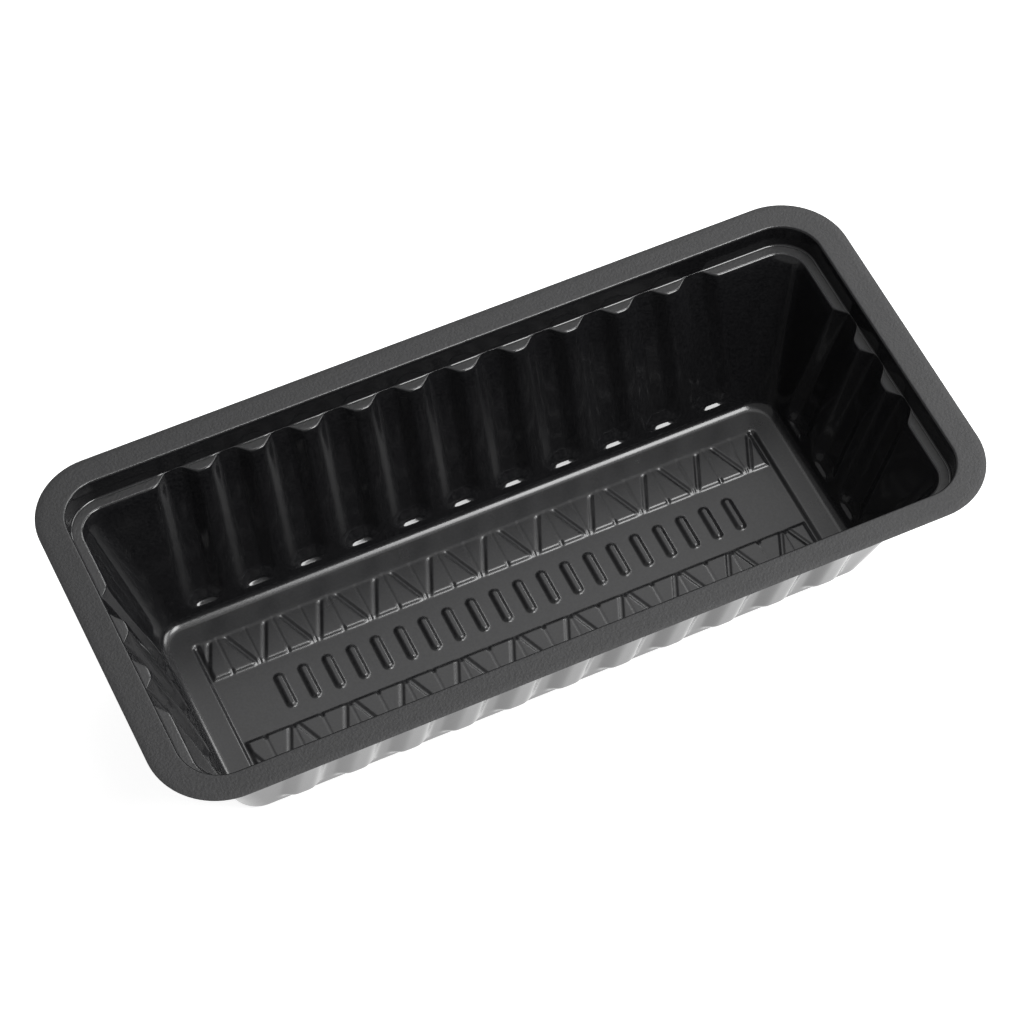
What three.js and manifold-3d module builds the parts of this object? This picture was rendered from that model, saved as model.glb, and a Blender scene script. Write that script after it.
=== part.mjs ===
// Thermoformed snack tray: one thin black plastic sheet, pressed into a fluted rectangular bowl.
// Millimetres, +Z up. The tray is centred on the origin and stands on z = 0; its length is along X.
//
// The upper face of the sheet is built first, ring by ring from the flange down to the floor's panel.
// The lower face is that same surface pushed back by the sheet's thickness. The panel's relief comes
// last: each raised pad is joined on above, and its hollow is cut from below.

import * as THREE from "three";
import Module from "manifold-3d";

// Overall size
const LENGTH = 213;
const WIDTH = 101.4;
const HEIGHT = 49.2;
const SHEET = 0.4;

// Flange and the stacking step below it. Insets are measured inwards from the flange's outer edge.
// The flange is a little wider at the two short ends. Half way round its inner round, the surface has
// covered these shares of the round's run and drop.
const FLANGE_CORNER = 17.3;
const FLANGE_WIDTH = 6.3;
const FLANGE_ROUND = 0.6;
const ROUND_MIDDLE_RUN = 0.7;
const ROUND_MIDDLE_DROP = 0.3;
const END_EXTRA = 0.4;
const STEP_DEPTH = 6.2;
const STEP_INSET = 7.45;

// Side walls
const WALL_TOP_INSET = 10.4;
const WALL_RUN_PER_HEIGHT = 0.2943;
const WALL_CORNER = 6.9;
const LEDGE_ROUND = 0.35;

// Flutes: flat-bottomed bays that bulge outwards between ridges and come up almost to the step
const FLUTE_PITCH = 13.86;
const FLUTE_DEPTH_TOP = 2.7;
const FLUTE_DEPTH_FOOT = 1.7;
const BAY_HALF_WIDTH = 2.2;
const FLANK_RUN = 3.05;
const FLANK_SOFTNESS = 0.17;
const FLUTES_LONG_SIDE = 11;
const FLUTES_SHORT_SIDE = 3;
const LEDGE_LEFT_AT_BAYS = 0.3;
const STATION_INSIDE_BAY = 0.9;
const STATION_ON_FLANK = 0.4;
const STATION_FROM_RIDGE = 0.45;

// Foot of each flute: a long scoop and a small lip close it just above the foot's fillet
const FLUTE_END = 3.25;
const LIP_RISE = 1.05;
const LIP_DEPTH = 1;
const SCOOP_RISE = 4.5;

// Floor: a border round a sunken panel
const FOOT_FILLET = 2.7;
const FOOT_FACETS = 3;
const PANEL_DEPTH = 0.8;
const PANEL_HALF_LENGTH = 77.3;
const PANEL_HALF_WIDTH = 21.2;
const PANEL_CORNER = 1.6;
const PANEL_RUN = 0.6;

// Raised pads on the panel
const PAD_HEIGHT = 0.75;
const PAD_RUN_PER_HEIGHT = 0.67;
const PAD_WALL = 0.15;
const PAD_OVERLAP = 0.2;

// Zigzag bands: raised triangles that point to the middle strip and away from it in turn
const BAND_FRONT = 10.1;
const BAND_BACK = 19.8;
const BAND_LEFT = -75.05;
const BAND_RIGHT = 75.05;
const TRIANGLE_PITCH = 14.76;
const TRIANGLES_PER_BAND = 10;
const FIRST_POINT = -63.1;
const GROOVE_HALF_WIDTH = 0.6;
const POINT_HALF_GAP = 0.9;
const APEX_HALF_GAP = 1.5;

// Plain stiffening ribs across the middle strip
const RIB_COUNT = 20;
const RIB_PITCH = 6.4;
const RIB_HALF_LENGTH = 4.8;
const RIB_HALF_WIDTH = 1.0;
const RIB_END_FACETS = 3;

const CORNER_FACETS = 8;

// A sharp edge is pushed back further to keep the thickness, up to one over this cosine.
const SHARPEST_EDGE_COSINE = 0.8;

const BORDER_TOP = SHEET + PANEL_DEPTH;
const PANEL_TOP = SHEET;
const LEDGE_TOP = HEIGHT - STEP_DEPTH;
const RIDGE_START = BAY_HALF_WIDTH + FLANK_RUN;

const wallInset = (z) => WALL_TOP_INSET + (LEDGE_TOP - z) * WALL_RUN_PER_HEIGHT;
const wallEndExtra = (z) => (END_EXTRA * (z - BORDER_TOP)) / (LEDGE_TOP - BORDER_TOP);

// Outward swell of a flute at a distance from its middle: 1 across the flat bay, 0 on the ridges.
function scallop(fromMiddle) {
  const t = (RIDGE_START - Math.abs(fromMiddle)) / FLANK_RUN;
  return (Math.hypot(t, FLANK_SOFTNESS) - Math.hypot(t - 1, FLANK_SOFTNESS) + 1) / 2;
}

// Stations across half a flute: a pair where the bay rounds into the flank, and a pair at the ridge
const HALF_FLUTE = [
  BAY_HALF_WIDTH - STATION_INSIDE_BAY,
  BAY_HALF_WIDTH + STATION_ON_FLANK,
  RIDGE_START - STATION_FROM_RIDGE,
  RIDGE_START + STATION_FROM_RIDGE,
];
const ACROSS_FLUTE = [...HALF_FLUTE.map((d) => -d).reverse(), ...HALF_FLUTE];
const BAY_EDGES = [-BAY_HALF_WIDTH, BAY_HALF_WIDTH];

// A rounded rectangle, anticlockwise from above. Its sides have vertices at the given stations of each
// flute, and a bulge, a function of the distance from a flute's middle, moves them outwards.
function outline({ halfLength, halfWidth, corner, z, stations = [], bulge = () => 0 }) {
  const points = [];
  const quarters = [
    { turn: 0, reach: halfLength, count: FLUTES_SHORT_SIDE },
    { turn: 1, reach: halfWidth, count: FLUTES_LONG_SIDE },
    { turn: 2, reach: halfLength, count: FLUTES_SHORT_SIDE },
    { turn: 3, reach: halfWidth, count: FLUTES_LONG_SIDE },
  ];
  for (const { turn, reach, count } of quarters) {
    const angle = (turn * Math.PI) / 2;
    const place = (out, along) => {
      const x = out * Math.cos(angle) - along * Math.sin(angle);
      const y = out * Math.sin(angle) + along * Math.cos(angle);
      points.push(new THREE.Vector3(x, y, z));
    };
    for (let flute = 0; flute < count; flute += 1) {
      const middle = (flute - (count - 1) / 2) * FLUTE_PITCH;
      for (const d of stations) place(reach + bulge(d), middle + d);
    }
    const across = turn % 2 === 0 ? halfWidth : halfLength;
    for (let i = 0; i <= CORNER_FACETS; i += 1) {
      const bend = (i / CORNER_FACETS) * (Math.PI / 2);
      place(reach - corner + corner * Math.cos(bend), across - corner + corner * Math.sin(bend));
    }
  }
  return points;
}

function insetOutline({ inset, endExtra = 0, ...rest }) {
  return outline({ halfLength: LENGTH / 2 - inset - endExtra, halfWidth: WIDTH / 2 - inset, ...rest });
}

// An open surface made of rings of vertices, with strips and flat patches between them.
class Surface {
  constructor() {
    this.vertices = [];
    this.triangles = [];
  }

  ring(points) {
    const first = this.vertices.length;
    this.vertices.push(...points);
    return points.map((_, i) => first + i);
  }

  // Joins two rings of equal length, the outer or lower one first.
  strip(outer, inner) {
    for (let i = 0; i < outer.length; i += 1) {
      const next = (i + 1) % outer.length;
      this.triangles.push([outer[i], outer[next], inner[next]], [outer[i], inner[next], inner[i]]);
    }
  }

  // Joins two rings that differ in their numbers of vertices, always along the shorter diagonal.
  zip(outer, inner) {
    const gap = (a, b) => this.vertices[a].distanceTo(this.vertices[b]);
    const gaps = inner.map((at) => gap(outer[0], at));
    const near = gaps.indexOf(Math.min(...gaps));
    const a = [...outer, outer[0]];
    const b = [...inner.slice(near), ...inner.slice(0, near + 1)];
    let i = 0;
    let j = 0;
    while (i < outer.length || j < inner.length) {
      const stepOuter =
        j === inner.length || (i < outer.length && gap(a[i + 1], b[j]) < gap(a[i], b[j + 1]));
      this.triangles.push(stepOuter ? [a[i], a[i + 1], b[j]] : [a[i], b[j + 1], b[j]]);
      if (stepOuter) i += 1;
      else j += 1;
    }
  }

  // Fills the area inside a ring, round any rings that lie inside it.
  patch(contour, holes = []) {
    const flat = (ring) => ring.map((i) => new THREE.Vector2(this.vertices[i].x, this.vertices[i].y));
    const order = [contour, ...holes].flat();
    const faces = THREE.ShapeUtils.triangulateShape(flat(contour), holes.map(flat));
    for (const face of faces) {
      const [a, b, c] = face.map((i) => this.vertices[order[i]]);
      const turn = (b.x - a.x) * (c.y - a.y) - (b.y - a.y) * (c.x - a.x);
      const upward = turn > 0 ? face : [face[0], face[2], face[1]];
      this.triangles.push(upward.map((i) => order[i]));
    }
  }
}

// Flange, the rounded brow inside it, and the step down to the outer edge of the ledge
function addFlange(surface) {
  const middleInset = FLANGE_WIDTH + ROUND_MIDDLE_RUN * FLANGE_ROUND;
  const middleZ = HEIGHT - ROUND_MIDDLE_DROP * FLANGE_ROUND;
  const profile = [
    { inset: 0, z: HEIGHT },
    { inset: FLANGE_WIDTH, z: HEIGHT, endExtra: END_EXTRA },
    { inset: middleInset, z: middleZ, endExtra: END_EXTRA },
    { inset: FLANGE_WIDTH + FLANGE_ROUND, z: HEIGHT - FLANGE_ROUND, endExtra: END_EXTRA },
  ];
  const place = (level) => surface.ring(insetOutline({ ...level, corner: FLANGE_CORNER - level.inset }));
  const rings = profile.map(place);
  for (let i = 1; i < rings.length; i += 1) surface.strip(rings[i - 1], rings[i]);
  const foot = place({ inset: STEP_INSET, z: LEDGE_TOP, endExtra: END_EXTRA, stations: BAY_EDGES });
  surface.zip(rings[rings.length - 1], foot);
  return { edge: rings[0], foot };
}

// Fluted wall from the ledge's rounded edge down to where the flutes have closed
function addWall(surface) {
  const bayDepth = (z) => {
    const share = (LEDGE_TOP - z) / (LEDGE_TOP - FLUTE_END);
    const full = THREE.MathUtils.lerp(FLUTE_DEPTH_TOP, FLUTE_DEPTH_FOOT, share);
    const scoop = THREE.MathUtils.smootherstep(z, FLUTE_END, FLUTE_END + SCOOP_RISE);
    const lip = THREE.MathUtils.smootherstep(z, FLUTE_END, FLUTE_END + LIP_RISE);
    return LIP_DEPTH * lip + (full - LIP_DEPTH) * scoop;
  };
  const wallRing = (z, depth, inset = wallInset(z)) => {
    const bulge = (d) => depth * scallop(d);
    const endExtra = wallEndExtra(z);
    return surface.ring(
      insetOutline({ inset, endExtra, z, corner: WALL_CORNER, stations: ACROSS_FLUTE, bulge }),
    );
  };
  const edgeInset = WALL_TOP_INSET - LEDGE_ROUND;
  const rings = [wallRing(LEDGE_TOP, edgeInset - STEP_INSET - LEDGE_LEFT_AT_BAYS, edgeInset)];
  const rises = [SCOOP_RISE, SCOOP_RISE / 2, LIP_RISE, 0];
  for (const z of [LEDGE_TOP - LEDGE_ROUND, ...rises.map((rise) => FLUTE_END + rise)]) {
    rings.push(wallRing(z, bayDepth(z)));
  }
  for (let i = 1; i < rings.length; i += 1) surface.strip(rings[i - 1], rings[i]);
  return { top: rings[0], end: rings[rings.length - 1] };
}

// Plain foot of the wall below the flutes, rounded into the floor's border
function addFoot(surface) {
  const tilt = Math.atan(WALL_RUN_PER_HEIGHT);
  const turn = Math.PI / 2 - tilt;
  const centreInset = wallInset(BORDER_TOP) + FOOT_FILLET * Math.tan(turn / 2);
  const rings = [];
  for (let i = 0; i <= FOOT_FACETS; i += 1) {
    const angle = tilt + (turn * i) / FOOT_FACETS;
    const inset = centreInset - FOOT_FILLET * Math.cos(angle);
    const z = BORDER_TOP + FOOT_FILLET * (1 - Math.sin(angle));
    const corner = WALL_CORNER - (inset - wallInset(z));
    const stations = i === 0 ? BAY_EDGES : [];
    rings.push(surface.ring(insetOutline({ inset, endExtra: wallEndExtra(z), z, corner, stations })));
  }
  surface.zip(rings[0], rings[1]);
  for (let i = 2; i < rings.length; i += 1) surface.strip(rings[i - 1], rings[i]);
  return { start: rings[0], border: rings[rings.length - 1] };
}

// Floor border and the sunken panel inside it
function addFloor(surface, border) {
  const panelRing = (inset, z) => {
    const halfLength = PANEL_HALF_LENGTH - inset;
    const halfWidth = PANEL_HALF_WIDTH - inset;
    return surface.ring(outline({ halfLength, halfWidth, corner: PANEL_CORNER - inset, z }));
  };
  const upper = panelRing(0, BORDER_TOP);
  const lower = panelRing(PANEL_RUN, PANEL_TOP);
  surface.patch(border, [upper]);
  surface.strip(upper, lower);
  surface.patch(lower);
}

// Moves every side of a convex anticlockwise polygon outwards by the same distance.
function grow(polygon, distance) {
  return polygon.map((corner, i) => {
    const before = polygon[(i + polygon.length - 1) % polygon.length];
    const after = polygon[(i + 1) % polygon.length];
    const inward = corner.clone().sub(before).normalize();
    const outward = after.clone().sub(corner).normalize();
    const normal = new THREE.Vector2(inward.y + outward.y, -inward.x - outward.x).normalize();
    const stretch = distance / (normal.x * inward.y - normal.y * inward.x);
    return corner.clone().addScaledVector(normal, stretch);
  });
}

// Keeps the part of a convex polygon between two lines of constant x.
function cropAlongX(polygon, low, high) {
  const cut = (points, limit, side) =>
    points.flatMap((point, i) => {
      const next = points[(i + 1) % points.length];
      const keep = side * (limit - point.x) >= 0;
      const keepNext = side * (limit - next.x) >= 0;
      const kept = keep ? [point] : [];
      if (keep !== keepNext) kept.push(point.clone().lerp(next, (limit - point.x) / (next.x - point.x)));
      return kept;
    });
  return cut(cut(polygon, high, 1), low, -1);
}

// Tops of one band's triangles: wide at the strip side with its apex outwards, and the reverse.
// One that the band's end crops away, or down to a corner, is left out.
function bandTriangles() {
  const half = TRIANGLE_PITCH / 2;
  const pointGap = POINT_HALF_GAP + GROOVE_HALF_WIDTH;
  const apexGap = APEX_HALF_GAP + GROOVE_HALF_WIDTH;
  const triangles = [];
  for (let i = 0; i <= TRIANGLES_PER_BAND; i += 1) {
    const point = FIRST_POINT + i * TRIANGLE_PITCH;
    const apex = point - half;
    triangles.push([
      [apex - half + pointGap, BAND_FRONT],
      [apex + half - pointGap, BAND_FRONT],
      [apex + APEX_HALF_GAP - GROOVE_HALF_WIDTH, BAND_BACK],
      [apex - APEX_HALF_GAP + GROOVE_HALF_WIDTH, BAND_BACK],
    ]);
    triangles.push([
      [point - POINT_HALF_GAP + GROOVE_HALF_WIDTH, BAND_FRONT],
      [point + POINT_HALF_GAP - GROOVE_HALF_WIDTH, BAND_FRONT],
      [point + half - apexGap, BAND_BACK],
      [point - half + apexGap, BAND_BACK],
    ]);
  }
  return triangles
    .map((corners) => corners.map(([x, y]) => new THREE.Vector2(x, y)))
    .map((corners) => cropAlongX(corners, BAND_LEFT, BAND_RIGHT))
    .filter((corners) => corners.length > 3);
}

const mirrorAcrossX = (polygon) => polygon.map((p) => new THREE.Vector2(p.x, -p.y)).reverse();

function ribTops() {
  return Array.from({ length: RIB_COUNT }, (_, i) => {
    const x = (i - (RIB_COUNT - 1) / 2) * RIB_PITCH;
    const points = [];
    for (const end of [0, 1]) {
      const endY = (end === 0 ? 1 : -1) * (RIB_HALF_LENGTH - RIB_HALF_WIDTH);
      for (let k = 0; k <= RIB_END_FACETS; k += 1) {
        const angle = Math.PI * (end + k / RIB_END_FACETS);
        const px = x + RIB_HALF_WIDTH * Math.cos(angle);
        points.push(new THREE.Vector2(px, endY + RIB_HALF_WIDTH * Math.sin(angle)));
      }
    }
    return points;
  });
}

// Angle-weighted vertex normals, lengthened where faces meet at an edge so the sheet keeps its thickness.
function pushDirections(surface) {
  const { vertices, triangles } = surface;
  const normals = vertices.map(() => new THREE.Vector3());
  const faceNormals = triangles.map(([a, b, c]) => {
    const ab = vertices[b].clone().sub(vertices[a]);
    const ac = vertices[c].clone().sub(vertices[a]);
    return ab.cross(ac).normalize();
  });
  const forEachCorner = (visit) =>
    triangles.forEach((triangle, f) =>
      triangle.forEach((at, k) => {
        const toNext = vertices[triangle[(k + 1) % 3]].clone().sub(vertices[at]);
        const toLast = vertices[triangle[(k + 2) % 3]].clone().sub(vertices[at]);
        visit(at, faceNormals[f], toNext.angleTo(toLast));
      }),
    );
  forEachCorner((at, normal, angle) => normals[at].addScaledVector(normal, angle));
  normals.forEach((normal) => normal.normalize());
  const widest = vertices.map(() => 1);
  forEachCorner((at, normal) => {
    widest[at] = Math.min(widest[at], normal.dot(normals[at]));
  });
  return normals.map((normal, i) => normal.multiplyScalar(1 / Math.max(widest[i], SHARPEST_EDGE_COSINE)));
}

// Closes the surface into a sheet: its lower face, and the cut edge round the flange.
function thicken(surface, edge, thickness) {
  const directions = pushDirections(surface);
  const count = surface.vertices.length;
  const lower = surface.vertices.map((v, i) => v.clone().addScaledVector(directions[i], -thickness));
  lower.forEach((v) => {
    v.z = Math.max(v.z, 0);
  });
  const index = surface.triangles.flat();
  for (const [a, b, c] of surface.triangles) index.push(a + count, c + count, b + count);
  edge.forEach((at, i) => {
    const next = edge[(i + 1) % edge.length];
    index.push(at, at + count, next + count, at, next + count, next);
  });
  return new THREE.BufferGeometry().setFromPoints([...surface.vertices, ...lower]).setIndex(index);
}

function sheetGeometry() {
  const surface = new Surface();
  const flange = addFlange(surface);
  const wall = addWall(surface);
  const foot = addFoot(surface);
  surface.zip(flange.foot, wall.top);
  surface.zip(wall.end, foot.start);
  addFloor(surface, foot.border);
  return thicken(surface, flange.edge, SHEET);
}

// A closed pad whose sides slope outwards from its top down to its foot
function padGeometry(top, topZ, footZ) {
  const foot = grow(top, (topZ - footZ) * PAD_RUN_PER_HEIGHT);
  const surface = new Surface();
  const place = (polygon, z) => surface.ring(polygon.map((p) => new THREE.Vector3(p.x, p.y, z)));
  const low = place(foot, footZ);
  const high = place(top, topZ);
  surface.strip(low, high);
  surface.patch(high);
  const base = surface.triangles.length;
  surface.patch(low);
  surface.triangles.slice(base).forEach((triangle) => triangle.reverse());
  return new THREE.BufferGeometry().setFromPoints(surface.vertices).setIndex(surface.triangles.flat());
}

const wasm = await Module();
wasm.setup();

function toSolid(geometry) {
  const vertProperties = new Float32Array(geometry.attributes.position.array);
  const triVerts = new Uint32Array(geometry.index.array);
  return new wasm.Manifold(new wasm.Mesh({ numProp: 3, vertProperties, triVerts }));
}

function toGeometry(solid) {
  const mesh = solid.getMesh();
  const geometry = new THREE.BufferGeometry();
  geometry.setAttribute("position", new THREE.BufferAttribute(mesh.vertProperties, 3));
  geometry.setIndex(new THREE.BufferAttribute(mesh.triVerts, 1));
  geometry.computeVertexNormals();
  return geometry;
}

function trayGeometry() {
  const band = bandTriangles();
  const tops = [...band, ...band.map(mirrorAcrossX), ...ribTops()];
  const crown = PANEL_TOP + PAD_HEIGHT;
  const pads = tops.map((top) => toSolid(padGeometry(top, crown, PANEL_TOP - PAD_OVERLAP)));
  const hollows = tops.map((top) =>
    toSolid(padGeometry(grow(top, -PAD_WALL), crown - SHEET, -PAD_OVERLAP)),
  );
  const sheet = toSolid(sheetGeometry());
  const raised = sheet.add(wasm.Manifold.union(pads));
  return toGeometry(raised.subtract(wasm.Manifold.union(hollows)));
}

const blackPlastic = new THREE.MeshStandardMaterial({ color: 0x17171a, roughness: 0.28, metalness: 0 });

const tray = new THREE.Mesh(trayGeometry(), blackPlastic);
tray.name = "tray";

const part = new THREE.Group();
part.add(tray);

export default part;
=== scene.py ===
# Looks of a black thermoformed snack tray. The tray's fine surface is built here in millimetres, in the
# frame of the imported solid: centred on the origin, standing on z = 0, its length along X.

import math

import bpy
import numpy as np
from mathutils import Matrix, Vector


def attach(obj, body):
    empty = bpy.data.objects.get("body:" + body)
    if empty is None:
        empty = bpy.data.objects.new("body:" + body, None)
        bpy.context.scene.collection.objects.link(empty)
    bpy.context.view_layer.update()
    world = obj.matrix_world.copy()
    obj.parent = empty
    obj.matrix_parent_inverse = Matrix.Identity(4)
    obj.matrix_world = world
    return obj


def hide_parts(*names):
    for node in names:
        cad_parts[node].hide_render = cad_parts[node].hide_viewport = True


MM = 0.001
UP = math.pi / 2

# Overall size, flange and stacking step. Insets are measured inwards from the flange's outer edge.
LENGTH = 213.0
WIDTH = 101.4
HEIGHT = 49.2
SHEET = 0.4
FLANGE_CORNER = 17.3
FLANGE_WIDTH = 6.3
FLANGE_FILLET = 0.6
FLAT_INSETS = (2.0, 4.0, 5.4)
END_EXTRA = 0.4
CUT_EDGE_ROUND = 0.1
STEP_DEPTH = 6.2
STEP_INSET = 7.45
STEP_TILT = math.radians(5.5)
LEDGE_TOP = HEIGHT - STEP_DEPTH

# Walls and flutes
WALL_TOP_INSET = 10.4
WALL_RUN_PER_HEIGHT = 0.2943
WALL_TILT = math.atan(WALL_RUN_PER_HEIGHT)
WALL_CORNER = FLANGE_CORNER - WALL_TOP_INSET
WALL_START_DROP = 1.0
FLUTE_PITCH = 13.86
FLUTE_DEPTH_TOP = 2.92
FLUTE_DEPTH_FOOT = 1.7
BAY_HALF_WIDTH = 2.2
FLANK_RUN = 3.05
FLANK_SOFTNESS = 0.17
FLUTES_LONG_SIDE = 11
FLUTES_SHORT_SIDE = 3
STEP_FILLET_SHARE = 0.35
LEDGE_ROUND_SHARE = 0.25
LEDGE_SLOPE = 0.11
ROUNDS_FULL_WIDTH = 1.4

# Foot of the wall. Each flute closes smoothly into the plain wall just above the foot's fillet.
BORDER_TOP = 1.2
FLUTE_END = 4.1
LIP_RISE = 0.95
LIP_DEPTH = 0.85
LIP_NARROWING = 4
SCOOP_RISE = 4.5
FOOT_FILLET = 2.7

# Floor panel and its relief
PANEL_TOP = 0.4
PANEL_HALF_LENGTH = 77.3
PANEL_HALF_WIDTH = 21.2
PANEL_CORNER = 1.6
SLOPE_RUN = 1.45
PAD_HEIGHT = 0.75
BAND_FRONT = 9.9
BAND_BACK = 21.6
BAND_LEFT = -75.3
BAND_RIGHT = 75.3
TRIANGLE_PITCH = 14.76
FIRST_POINT = -63.1
POINT_HALF_GAP = 0.9
APEX_HALF_GAP = 1.5
GROOVE_RUN = 1.0
GROOVE_DEPTH = 0.3
GROOVE_END = 19.4
GROOVE_FADE = 1.2
SCORE_RUN = 0.6
SCORE_DEPTH = 0.08
NOTCH_DEPTH = 0.45
NOTCH_HALF_WIDTH = 0.8
NOTCH_REACH = 1.8
RIB_COUNT = 20
RIB_PITCH = 6.4
RIB_HALF_LENGTH = 4.8
RIB_HALF_WIDTH = 1.0

# Mesh density
FLUTE_FACETS = 28
CORNER_FACETS = 20
PLAIN_FACETS = 4
CUT_EDGE_FACETS = 3
BROW_FACETS = 8
STEP_SHARES = (0.3, 0.6, 0.85)
STEP_FILLET_RINGS = 9
LEDGE_SHARES = (0.08, 0.35, 0.7, 0.92)
LEDGE_ROUND_RINGS = 8
WALL_RINGS = 16
SCOOP_RINGS = 12
LIP_RINGS = 15
FOOT_FACETS = 14
GRID_HALF_LENGTH = 78.4
GRID_HALF_WIDTH = 23.0
GRID_STEP = 0.25
DIRECTION_PASSES = 3

# Zones of the finish, stored at each point and blended between them
GRAINED = 1.0
GLOSSY = 0.0
SATIN = -1.0
GRAIN_FADE_FACETS = 4

# Finish. Noise scales are cells to the metre.
REFRACTIVE_INDEX = 1.5
GRAIN_SCALE = 1700
GRAIN_DETAIL = 3
GRAIN_HEIGHT = 0.12
GRAIN_ON_FLANGE = 0.9
GRAIN_EVERYWHERE = 0.015
CLOUD_SCALE = 60
CLOUD_DETAIL = 4
CLOUD_RANGE = (0.3, 0.7)
GLOSS_ROUGHNESS = (0.10, 0.14)
FLANGE_ROUGHNESS = 0.42
FLOOR_ROUGHNESS = 0.17
TINT_RANGE = (0.35, 0.65)
DARK_TINT = (0.0045, 0.0045, 0.0050, 1)
LIGHT_TINT = (0.0095, 0.0095, 0.0102, 1)

# Studio, in metres: a pale floor just under the tray, bright mostly by its own glow, and an even surround
STUDIO_HALF = 3.0
STUDIO_GAP = 0.0001
STUDIO_GREY = 0.5
STUDIO_ROUGHNESS = 0.9
STUDIO_SPECULAR = 0.1
STUDIO_GLOW = 0.85
SURROUND_STRENGTH = 0.4

# Camera of the photograph: a long lens from the front left, 55 degrees above the table
CAMERA_PLACE = (-226.57, -488.55, 820.71)
CAMERA_RIGHT = (0.906135, -0.422966, -0.004418)
CAMERA_UP = (0.350010, 0.743891, 0.569315)
CAMERA_LENS = 140.24
CAMERA_SENSOR = 36.0
CAMERA_SHIFT_X = 0.00808
CAMERA_SHIFT_Y = -0.00936
CAMERA_NEAR = 0.05
CAMERA_FAR = 20.0


def smoother(t):
    """Smooth step from 0 to 1, level at both ends and clamped beyond them."""
    t = np.clip(t, 0.0, 1.0)
    return t * t * t * (t * (6.0 * t - 15.0) + 10.0)


# ---------------------------------------------------------------- rings of the flange and the wall


def scallop(along, count):
    """Outward swell of the flutes: 1 across a bay's flat middle, 0 on a ridge and beyond the last flute."""
    from_middle = np.abs(along - FLUTE_PITCH * np.round(along / FLUTE_PITCH))
    t = (BAY_HALF_WIDTH + FLANK_RUN - from_middle) / FLANK_RUN
    swell = (np.hypot(t, FLANK_SOFTNESS) - np.hypot(t - 1, FLANK_SOFTNESS) + 1) / 2
    return np.where(np.abs(along) < count * FLUTE_PITCH / 2, np.clip(swell, 0, 1), 0.0)


def swell_all_round():
    """The flutes' swell at every station of a ring, in ring order"""
    parts = []
    for count in (FLUTES_SHORT_SIDE, FLUTES_LONG_SIDE) * 2:
        reach = count * FLUTE_PITCH / 2
        parts.append(np.zeros(PLAIN_FACETS))
        parts.append(scallop(np.linspace(-reach, reach, count * FLUTE_FACETS + 1), count))
        parts.append(np.zeros(PLAIN_FACETS + CORNER_FACETS - 1))
    return np.concatenate(parts)


SWELL = swell_all_round()


def ring(inset, z, corner=None, flute=0.0, end_extra=0.0):
    """One closed ring, anticlockwise from above. inset, z and flute are numbers or one value per station.
    corner is the corner's radius, which without one follows the flange's corner inwards, and end_extra
    moves both short ends further in."""
    inset, z, flute = (np.broadcast_to(np.asarray(v, float), SWELL.shape) for v in (inset, z, flute))
    spots = np.empty((len(SWELL), 3))
    half_length = LENGTH / 2 - end_extra
    at = 0
    for turn, count in enumerate((FLUTES_SHORT_SIDE, FLUTES_LONG_SIDE) * 2):
        half_out, half_across = (half_length, WIDTH / 2) if turn % 2 == 0 else (WIDTH / 2, half_length)
        reach = count * FLUTE_PITCH / 2
        n = 2 * PLAIN_FACETS + count * FLUTE_FACETS + CORNER_FACETS
        span = slice(at, at + n)
        own_inset = inset[span]
        radius = FLANGE_CORNER - own_inset if corner is None else np.full(n, corner)
        end = half_across - own_inset - radius
        share = np.arange(PLAIN_FACETS) / PLAIN_FACETS
        along = np.empty(n)
        along[:PLAIN_FACETS] = -end[:PLAIN_FACETS] * (1 - share) - reach * share
        fluted = slice(PLAIN_FACETS, PLAIN_FACETS + count * FLUTE_FACETS + 1)
        along[fluted] = np.linspace(-reach, reach, count * FLUTE_FACETS + 1)
        rest = slice(fluted.stop, fluted.stop + PLAIN_FACETS - 1)
        along[rest] = reach * (1 - share[1:]) + end[rest] * share[1:]
        out = half_out - own_inset + flute[span]
        bend = np.arange(CORNER_FACETS) / CORNER_FACETS * math.pi / 2
        tail = slice(rest.stop, n)
        along[tail] = end[tail] + radius[tail] * np.sin(bend)
        out[tail] += radius[tail] * (np.cos(bend) - 1)
        c = math.cos(turn * math.pi / 2)
        s = math.sin(turn * math.pi / 2)
        spots[span, 0] = out * c - along * s
        spots[span, 1] = out * s + along * c
        spots[span, 2] = z[span]
        at += n
    return spots


def arc(inset, z, radius, start, stop, steps):
    """Points of an arc in the profile plane, angles in radians: 0 points inwards and a quarter turn up."""
    angles = np.linspace(start, stop, steps + 1)
    return [(inset + radius * math.cos(a), z + radius * math.sin(a)) for a in angles]


def brow_profile():
    """The round between the flat flange and the step"""
    return arc(FLANGE_WIDTH, HEIGHT - FLANGE_FILLET, FLANGE_FILLET, UP, STEP_TILT, BROW_FACETS)


# The functions below whose names end in _rings each give a stretch of the profile, from the cut edge down
# to the floor's border, as pairs of a ring and its zone.


def flange_rings():
    edge = arc(CUT_EDGE_ROUND, HEIGHT - CUT_EDGE_ROUND, CUT_EDGE_ROUND, math.pi, UP, CUT_EDGE_FACETS)
    made = [(ring(inset, z), GRAINED) for inset, z in edge]
    for i, inset in enumerate(FLAT_INSETS):
        end_extra = END_EXTRA * (i + 1) / len(FLAT_INSETS)
        made.append((ring(inset, HEIGHT, end_extra=end_extra), GRAINED))
    for i, (inset, z) in enumerate(brow_profile()):
        zone = max(GLOSSY, GRAINED - i / GRAIN_FADE_FACETS)
        made.append((ring(inset, z, end_extra=END_EXTRA), zone))
    return made


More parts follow.
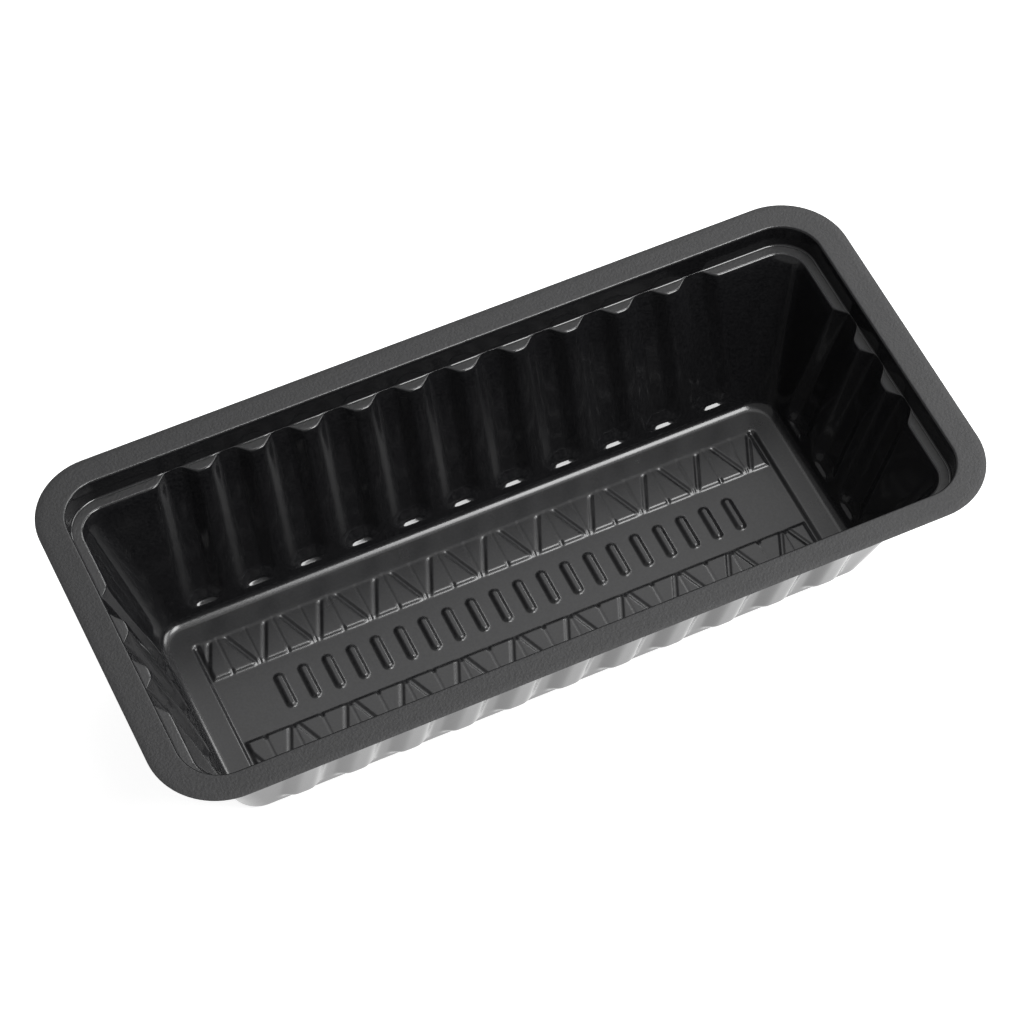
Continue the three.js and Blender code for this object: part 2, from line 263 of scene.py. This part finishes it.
def step_rings():
    """Step, ledge and the round edge from it into the fluted wall. Both rounds all but vanish in the
    bays, where the flute comes up nearly flush with the step."""
    width = WALL_TOP_INSET - STEP_INSET - FLUTE_DEPTH_TOP * SWELL
    rounds = np.clip(width, 0.0, ROUNDS_FULL_WIDTH)
    fillet = STEP_FILLET_SHARE * rounds
    foot_in = STEP_INSET + fillet * (1 - math.sin(STEP_TILT)) / math.cos(STEP_TILT)
    angles = np.linspace(math.pi + STEP_TILT, 1.5 * math.pi, STEP_FILLET_RINGS)
    foot = [(foot_in + fillet * math.cos(a), LEDGE_TOP + fillet * (1 + math.sin(a))) for a in angles]
    top = brow_profile()[-1]
    face = [tuple(a + (b - a) * share for a, b in zip(top, foot[0])) for share in STEP_SHARES]

    size = LEDGE_ROUND_SHARE * rounds
    radius = size / math.tan((UP - WALL_TILT) / 2)
    edge_in = STEP_INSET + width - size
    ledge = [(foot_in + (edge_in - foot_in) * share, LEDGE_TOP) for share in LEDGE_SHARES]
    angles = np.linspace(UP, WALL_TILT, LEDGE_ROUND_RINGS)
    edge = [(edge_in + radius * math.cos(a), LEDGE_TOP - radius * (1 - math.sin(a))) for a in angles]

    made = []
    for profile, zone in ((face + foot, GLOSSY), (ledge, GRAINED), (edge, GLOSSY)):
        for inset, z in profile:
            fall = LEDGE_SLOPE * np.maximum(inset - STEP_INSET, 0.0)
            made.append((ring(inset, z - fall, end_extra=END_EXTRA), zone))
    return made


def wall_inset(z):
    return WALL_TOP_INSET + (LEDGE_TOP - z) * math.tan(WALL_TILT)


def bays(z):
    """Outward swell of the flutes at a height. Each ends in a small round lip under a long scoop."""
    share = math.sqrt((LEDGE_TOP - z) / (LEDGE_TOP - FLUTE_END))
    full = FLUTE_DEPTH_TOP + (FLUTE_DEPTH_FOOT - FLUTE_DEPTH_TOP) * share
    scoop = smoother((z - FLUTE_END) / SCOOP_RISE)
    lip = smoother((z - FLUTE_END) / LIP_RISE)
    rounded = SWELL**LIP_NARROWING * (1 - scoop) + SWELL * scoop
    return LIP_DEPTH * lip * rounded + (full - LIP_DEPTH) * scoop * SWELL


def wall_rings():
    scoop_top = FLUTE_END + SCOOP_RISE
    lip_top = FLUTE_END + LIP_RISE
    heights = np.linspace(LEDGE_TOP - WALL_START_DROP, scoop_top, WALL_RINGS)
    scoop_heights = np.linspace(scoop_top, lip_top, SCOOP_RINGS)[1:]
    lip_heights = np.linspace(lip_top, FLUTE_END, LIP_RINGS)[1:]
    made = []
    for z in (*heights, *scoop_heights, *lip_heights):
        extra = END_EXTRA * (z - BORDER_TOP) / (LEDGE_TOP - BORDER_TOP)
        made.append((ring(wall_inset(z), z, WALL_CORNER, bays(z), extra), GLOSSY))
    return made


def foot_rings():
    """Fillet from the wall's foot into the floor's border, turning from glossy to satin"""
    centre = wall_inset(BORDER_TOP) + FOOT_FILLET * math.tan((UP - WALL_TILT) / 2)
    start = math.pi + WALL_TILT
    profile = arc(centre, BORDER_TOP + FOOT_FILLET, FOOT_FILLET, start, 1.5 * math.pi, FOOT_FACETS)
    made = []
    for i, (inset, z) in enumerate(profile):
        corner = WALL_CORNER - max(0.0, inset - wall_inset(z))
        made.append((ring(inset, z, corner), SATIN * i / FOOT_FACETS))
    return made


# ---------------------------------------------------------------- relief of the floor panel


def box_distance(x, y, half_x, half_y, corner):
    """Distance inside a rounded rectangle's edge, negative outside it"""
    dx = np.abs(x) - (half_x - corner)
    dy = np.abs(y) - (half_y - corner)
    outside = np.hypot(np.maximum(dx, 0), np.maximum(dy, 0))
    return corner - outside - np.minimum(np.maximum(dx, dy), 0)


def band_relief(x, y):
    """Height of one zigzag band at y > 0: flat pads between diagonal grooves, with fine scored lines"""
    inside = np.minimum(
        np.minimum(x - BAND_LEFT, BAND_RIGHT - x), np.minimum(y - BAND_FRONT, BAND_BACK - y)
    )
    pad = smoother(inside / SLOPE_RUN + 0.5)
    half = TRIANGLE_PITCH / 2
    # Fold every half pitch onto one diagonal that runs from a point at the front to an apex at the back
    phase = (x - FIRST_POINT) / TRIANGLE_PITCH
    u = np.abs(phase - np.round(phase)) * TRIANGLE_PITCH
    rise = (BAND_BACK - BAND_FRONT) / (half - APEX_HALF_GAP - POINT_HALF_GAP)
    across = np.abs((y - BAND_FRONT) - (u - POINT_HALF_GAP) * rise) / math.hypot(1, rise)
    fade = 1 - smoother((y - GROOVE_END) / GROOVE_FADE)
    groove = GROOVE_DEPTH * (1 - smoother(across / GROOVE_RUN)) * fade
    # Score lines along Y at every point and apex, with a notch in the strip-side edge
    v = np.abs((x - FIRST_POINT) / half - np.round((x - FIRST_POINT) / half)) * half
    score = SCORE_DEPTH * (1 - smoother(v / SCORE_RUN))
    near_strip = 1 - smoother((y - BAND_FRONT) / NOTCH_REACH)
    notch = NOTCH_DEPTH * (1 - smoother(v / NOTCH_HALF_WIDTH)) * near_strip
    return pad * (PAD_HEIGHT - np.maximum(np.maximum(groove, score), notch))


def rib_relief(x, y):
    """Plain round-ended ribs across the middle strip"""
    index = np.clip(np.round(x / RIB_PITCH + (RIB_COUNT - 1) / 2), 0, RIB_COUNT - 1)
    centre = (index - (RIB_COUNT - 1) / 2) * RIB_PITCH
    straight = RIB_HALF_LENGTH - RIB_HALF_WIDTH
    distance = RIB_HALF_WIDTH - np.hypot(x - centre, np.maximum(np.abs(y) - straight, 0))
    return PAD_HEIGHT * smoother(distance / SLOPE_RUN + 0.5)


def panel_height(x, y):
    """Height of the panel's upper face, with the border round it"""
    edge = box_distance(x, y, PANEL_HALF_LENGTH, PANEL_HALF_WIDTH, PANEL_CORNER)
    sunk = smoother(edge / SLOPE_RUN)
    relief = np.maximum(band_relief(x, np.abs(y)), 0) + rib_relief(x, y)
    return BORDER_TOP - (BORDER_TOP - PANEL_TOP) * sunk + relief * sunk


# ---------------------------------------------------------------- mesh


def loop_quads(outer, inner):
    """Quads between two rings of the same length, given by the index of each ring's first point"""
    i = np.arange(len(SWELL))
    j = (i + 1) % len(SWELL)
    return np.stack([outer + i, outer + j, inner + j, inner + i], 1)


def zip_loops(points, outer, inner):
    """Triangles between two closed loops round the origin that have different numbers of vertices"""

    def unrolled(loop):
        angle = np.arctan2(points[loop, 1], points[loop, 0])
        start = int(np.argmin(angle))
        loop = np.roll(loop, -start)
        angle = np.roll(angle, -start)
        return np.append(loop, loop[0]), np.append(angle, angle[0] + 2 * math.pi)

    outer, outer_angle = unrolled(outer)
    inner, inner_angle = unrolled(inner)
    i = 0
    j = 0
    made = []
    while i < len(outer) - 1 or j < len(inner) - 1:
        step_outer = j == len(inner) - 1 or (
            i < len(outer) - 1 and outer_angle[i + 1] < inner_angle[j + 1]
        )
        if step_outer:
            made.append((outer[i], outer[i + 1], inner[j]))
            i += 1
        else:
            made.append((outer[i], inner[j + 1], inner[j]))
            j += 1
    return np.array(made)


def floor_grid():
    """Points of the panel and the border next to it, in rows"""
    columns = int(round(2 * GRID_HALF_LENGTH / GRID_STEP)) + 1
    rows = int(round(2 * GRID_HALF_WIDTH / GRID_STEP)) + 1
    xs = np.linspace(-GRID_HALF_LENGTH, GRID_HALF_LENGTH, columns)
    ys = np.linspace(-GRID_HALF_WIDTH, GRID_HALF_WIDTH, rows)
    gx, gy = np.meshgrid(xs, ys)
    return np.stack([gx, gy, panel_height(gx, gy)], 2)


def upper_face():
    """The sheet's upper face: its points, their zones, its quads and triangles, and its number of rings"""
    rings, zones = zip(*flange_rings(), *step_rings(), *wall_rings(), *foot_rings())
    grid = floor_grid()
    rows, columns = grid.shape[:2]
    n = len(SWELL)
    first = len(rings) * n
    points = np.concatenate([*rings, grid.reshape(-1, 3)])
    zone = np.concatenate([np.repeat(zones, n), np.full(rows * columns, SATIN)])

    at = first + np.arange(rows * columns).reshape(rows, columns)
    cell = at[:-1, :-1].ravel()
    quads = [loop_quads(k * n, (k + 1) * n) for k in range(len(rings) - 1)]
    quads.append(np.stack([cell, cell + 1, cell + columns + 1, cell + columns], 1))
    perimeter = np.concatenate([at[0, :-1], at[:-1, -1], at[-1, :0:-1], at[:0:-1, 0]])
    triangles = zip_loops(points, np.arange(first - n, first), perimeter)
    return points, zone, np.concatenate(quads), triangles, len(rings)


def point_normals(points, quads, triangles):
    normals = np.zeros_like(points)
    for faces in (quads, triangles):
        a, b, c = points[faces[:, 0]], points[faces[:, 1]], points[faces[:, -1]]
        face_normal = np.cross(b - a, c - a)
        for k in range(faces.shape[1]):
            np.add.at(normals, faces[:, k], face_normal)
    return normals / np.linalg.norm(normals, axis=1)[:, None]


def thickness_directions(points, quads, triangles, ring_count):
    """Direction at each point from the lower face to the upper one: the normal, evened out from ring to
    ring on the flange and the wall, and straight up on the floor"""
    directions = point_normals(points, quads, triangles)
    n = len(SWELL)
    first = ring_count * n
    by_ring = directions[:first].reshape(ring_count, n, 3)
    for _ in range(DIRECTION_PASSES):
        blurred = by_ring.copy()
        blurred[1:-1] = (by_ring[:-2] + 2 * by_ring[1:-1] + by_ring[2:]) / 4
        by_ring[:] = blurred / np.linalg.norm(blurred, axis=2)[:, :, None]
    directions[first - n :] = (0, 0, 1)
    return directions


def mesh_from_arrays(name, points, quads, triangles):
    mesh = bpy.data.meshes.new(name)
    mesh.vertices.add(len(points))
    mesh.vertices.foreach_set("co", points.astype(np.float32).ravel())
    corners = np.concatenate([quads.ravel(), triangles.ravel()]).astype(np.int32)
    sizes = np.concatenate([np.full(len(quads), 4), np.full(len(triangles), 3)])
    starts = np.concatenate([[0], np.cumsum(sizes)[:-1]]).astype(np.int32)
    mesh.loops.add(len(corners))
    mesh.loops.foreach_set("vertex_index", corners)
    mesh.polygons.add(len(sizes))
    mesh.polygons.foreach_set("loop_start", starts)
    mesh.polygons.foreach_set("use_smooth", np.ones(len(sizes), bool))
    mesh.update(calc_edges=True)
    return mesh


def tray_mesh():
    """The closed sheet: its upper face, the same face pushed back, and the cut edge between them"""
    upper, zone, quads, triangles, ring_count = upper_face()
    lower = upper - SHEET * thickness_directions(upper, quads, triangles, ring_count)
    lower[:, 2] = np.maximum(lower[:, 2], 0)

    total = len(upper)
    i = np.arange(len(SWELL))
    j = (i + 1) % len(SWELL)
    cut_edge = np.stack([i, i + total, j + total, j], 1)
    points = np.concatenate([upper, lower]) * MM
    all_quads = np.concatenate([quads, quads[:, ::-1] + total, cut_edge])
    all_triangles = np.concatenate([triangles, triangles[:, ::-1] + total])
    mesh = mesh_from_arrays("tray_sheet", points, all_quads, all_triangles)
    attribute = mesh.attributes.new("zone", "FLOAT", "POINT")
    attribute.data.foreach_set("value", np.concatenate([zone, zone]).astype(np.float32))
    mesh.validate()
    return mesh


# ---------------------------------------------------------------- material


def black_plastic():
    """Near-black plastic: grained on the flange and the ledge, glossy on the walls, satin on the floor"""
    material = bpy.data.materials.new("black_plastic")
    material.use_nodes = True
    nodes = material.node_tree.nodes
    links = material.node_tree.links
    shader = nodes["Principled BSDF"]
    shader.inputs["IOR"].default_value = REFRACTIVE_INDEX
    place = nodes.new("ShaderNodeTexCoord")
    zone = nodes.new("ShaderNodeAttribute")
    zone.attribute_name = "zone"

    def noise(scale, detail):
        node = nodes.new("ShaderNodeTexNoise")
        node.inputs["Scale"].default_value = scale
        node.inputs["Detail"].default_value = detail
        links.new(place.outputs["Object"], node.inputs["Vector"])
        return node.outputs["Fac"]

    def remap(value, span, to_span=(0.0, 1.0)):
        node = nodes.new("ShaderNodeMapRange")
        node.inputs["From Min"].default_value = span[0]
        node.inputs["From Max"].default_value = span[1]
        node.inputs["To Min"].default_value = to_span[0]
        node.inputs["To Max"].default_value = to_span[1]
        links.new(value, node.inputs["Value"])
        return node.outputs["Result"]

    def combine(kind, a, b):
        node = nodes.new("ShaderNodeMath")
        node.operation = kind
        for socket, value in zip(node.inputs, (a, b)):
            if isinstance(value, (int, float)):
                socket.default_value = value
            else:
                links.new(value, socket)
        return node.outputs["Value"]

    on_flange = remap(zone.outputs["Fac"], (GLOSSY, GRAINED))
    on_floor = remap(zone.outputs["Fac"], (GLOSSY, SATIN))
    grain = noise(GRAIN_SCALE, GRAIN_DETAIL)
    cloud = noise(CLOUD_SCALE, CLOUD_DETAIL)
    flange_rough = combine("MULTIPLY", on_flange, FLANGE_ROUGHNESS)
    floor_rough = combine("MULTIPLY", on_floor, FLOOR_ROUGHNESS)
    gloss_rough = remap(cloud, CLOUD_RANGE, GLOSS_ROUGHNESS)
    rough = combine("ADD", combine("ADD", flange_rough, floor_rough), gloss_rough)
    links.new(rough, shader.inputs["Roughness"])

    tint = nodes.new("ShaderNodeMix")
    tint.data_type = "RGBA"
    tint.inputs["A"].default_value = DARK_TINT
    tint.inputs["B"].default_value = LIGHT_TINT
    links.new(remap(grain, TINT_RANGE), tint.inputs["Factor"])
    links.new(tint.outputs["Result"], shader.inputs["Base Color"])

    bump = nodes.new("ShaderNodeBump")
    bump.inputs["Distance"].default_value = GRAIN_HEIGHT * MM
    strength = combine("ADD", combine("MULTIPLY", on_flange, GRAIN_ON_FLANGE), GRAIN_EVERYWHERE)
    links.new(combine("MULTIPLY", grain, strength), bump.inputs["Height"])
    links.new(bump.outputs["Normal"], shader.inputs["Normal"])
    return material


# ---------------------------------------------------------------- studio


def studio_floor():
    mesh = bpy.data.meshes.new("floor")
    sides = ((-1, -1), (1, -1), (1, 1), (-1, 1))
    corners = [(x * STUDIO_HALF, y * STUDIO_HALF, -STUDIO_GAP) for x, y in sides]
    mesh.from_pydata(corners, [], [(0, 1, 2, 3)])
    floor = bpy.data.objects.new("floor", mesh)
    bpy.context.scene.collection.objects.link(floor)
    material = bpy.data.materials.new("pale_floor")
    material.use_nodes = True
    shader = material.node_tree.nodes["Principled BSDF"]
    shader.inputs["Base Color"].default_value = (STUDIO_GREY, STUDIO_GREY, STUDIO_GREY, 1)
    shader.inputs["Roughness"].default_value = STUDIO_ROUGHNESS
    shader.inputs["Specular IOR Level"].default_value = STUDIO_SPECULAR
    shader.inputs["Emission Color"].default_value = (1, 1, 1, 1)
    shader.inputs["Emission Strength"].default_value = STUDIO_GLOW
    mesh.materials.append(material)


def softbox(name, x_range, y_range, z, radiance):
    """A level soft light, in metres. radiance is what a mirror would show of it, where white paper in
    full light is 1."""
    data = bpy.data.lights.new(name, "AREA")
    data.shape = "RECTANGLE"
    data.size = x_range[1] - x_range[0]
    data.size_y = y_range[1] - y_range[0]
    data.energy = radiance * math.pi * data.size * data.size_y
    lamp = bpy.data.objects.new(name, data)
    bpy.context.scene.collection.objects.link(lamp)
    lamp.location = (sum(x_range) / 2, sum(y_range) / 2, z)


def surround():
    world = bpy.data.worlds.new("studio")
    bpy.context.scene.world = world
    world.use_nodes = True
    background = world.node_tree.nodes["Background"]
    background.inputs["Color"].default_value = (1, 1, 1, 1)
    background.inputs["Strength"].default_value = SURROUND_STRENGTH


def photo_camera():
    data = bpy.data.cameras.new("camera")
    data.sensor_width = CAMERA_SENSOR
    data.lens = CAMERA_LENS
    data.shift_x = CAMERA_SHIFT_X
    data.shift_y = CAMERA_SHIFT_Y
    data.clip_start = CAMERA_NEAR
    data.clip_end = CAMERA_FAR
    camera = bpy.data.objects.new("camera", data)
    bpy.context.scene.collection.objects.link(camera)
    right = Vector(CAMERA_RIGHT).normalized()
    up = Vector(CAMERA_UP).normalized()
    turned = Matrix((right, up, right.cross(up))).transposed().to_4x4()
    camera.matrix_world = Matrix.Translation(Vector(CAMERA_PLACE) * MM) @ turned
    bpy.context.scene.camera = camera


# ---------------------------------------------------------------- scene

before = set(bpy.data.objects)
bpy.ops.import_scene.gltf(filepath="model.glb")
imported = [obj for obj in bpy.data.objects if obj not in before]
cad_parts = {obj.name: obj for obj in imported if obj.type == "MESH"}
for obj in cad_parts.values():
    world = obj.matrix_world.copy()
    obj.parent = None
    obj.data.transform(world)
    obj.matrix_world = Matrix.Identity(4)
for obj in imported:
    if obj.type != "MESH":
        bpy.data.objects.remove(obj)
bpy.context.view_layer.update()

tray = bpy.data.objects.new("tray_sheet", tray_mesh())
bpy.context.scene.collection.objects.link(tray)
tray.data.materials.append(black_plastic())
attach(tray, "root")
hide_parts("tray")

studio_floor()
softbox("key", x_range=(0.24, 0.72), y_range=(-1.0, -0.11), z=1.2, radiance=16.0)
softbox("fill", x_range=(-0.1, 1.2), y_range=(-0.09, 1.3), z=1.2, radiance=1.3)
softbox("rim", x_range=(0.80, 1.5), y_range=(0.60, 1.15), z=1.0, radiance=9.0)
softbox("side", x_range=(0.9, 1.9), y_range=(-0.7, 0.3), z=0.95, radiance=8.0)
surround()
photo_camera()
bpy.context.scene.view_settings.view_transform = "Standard"
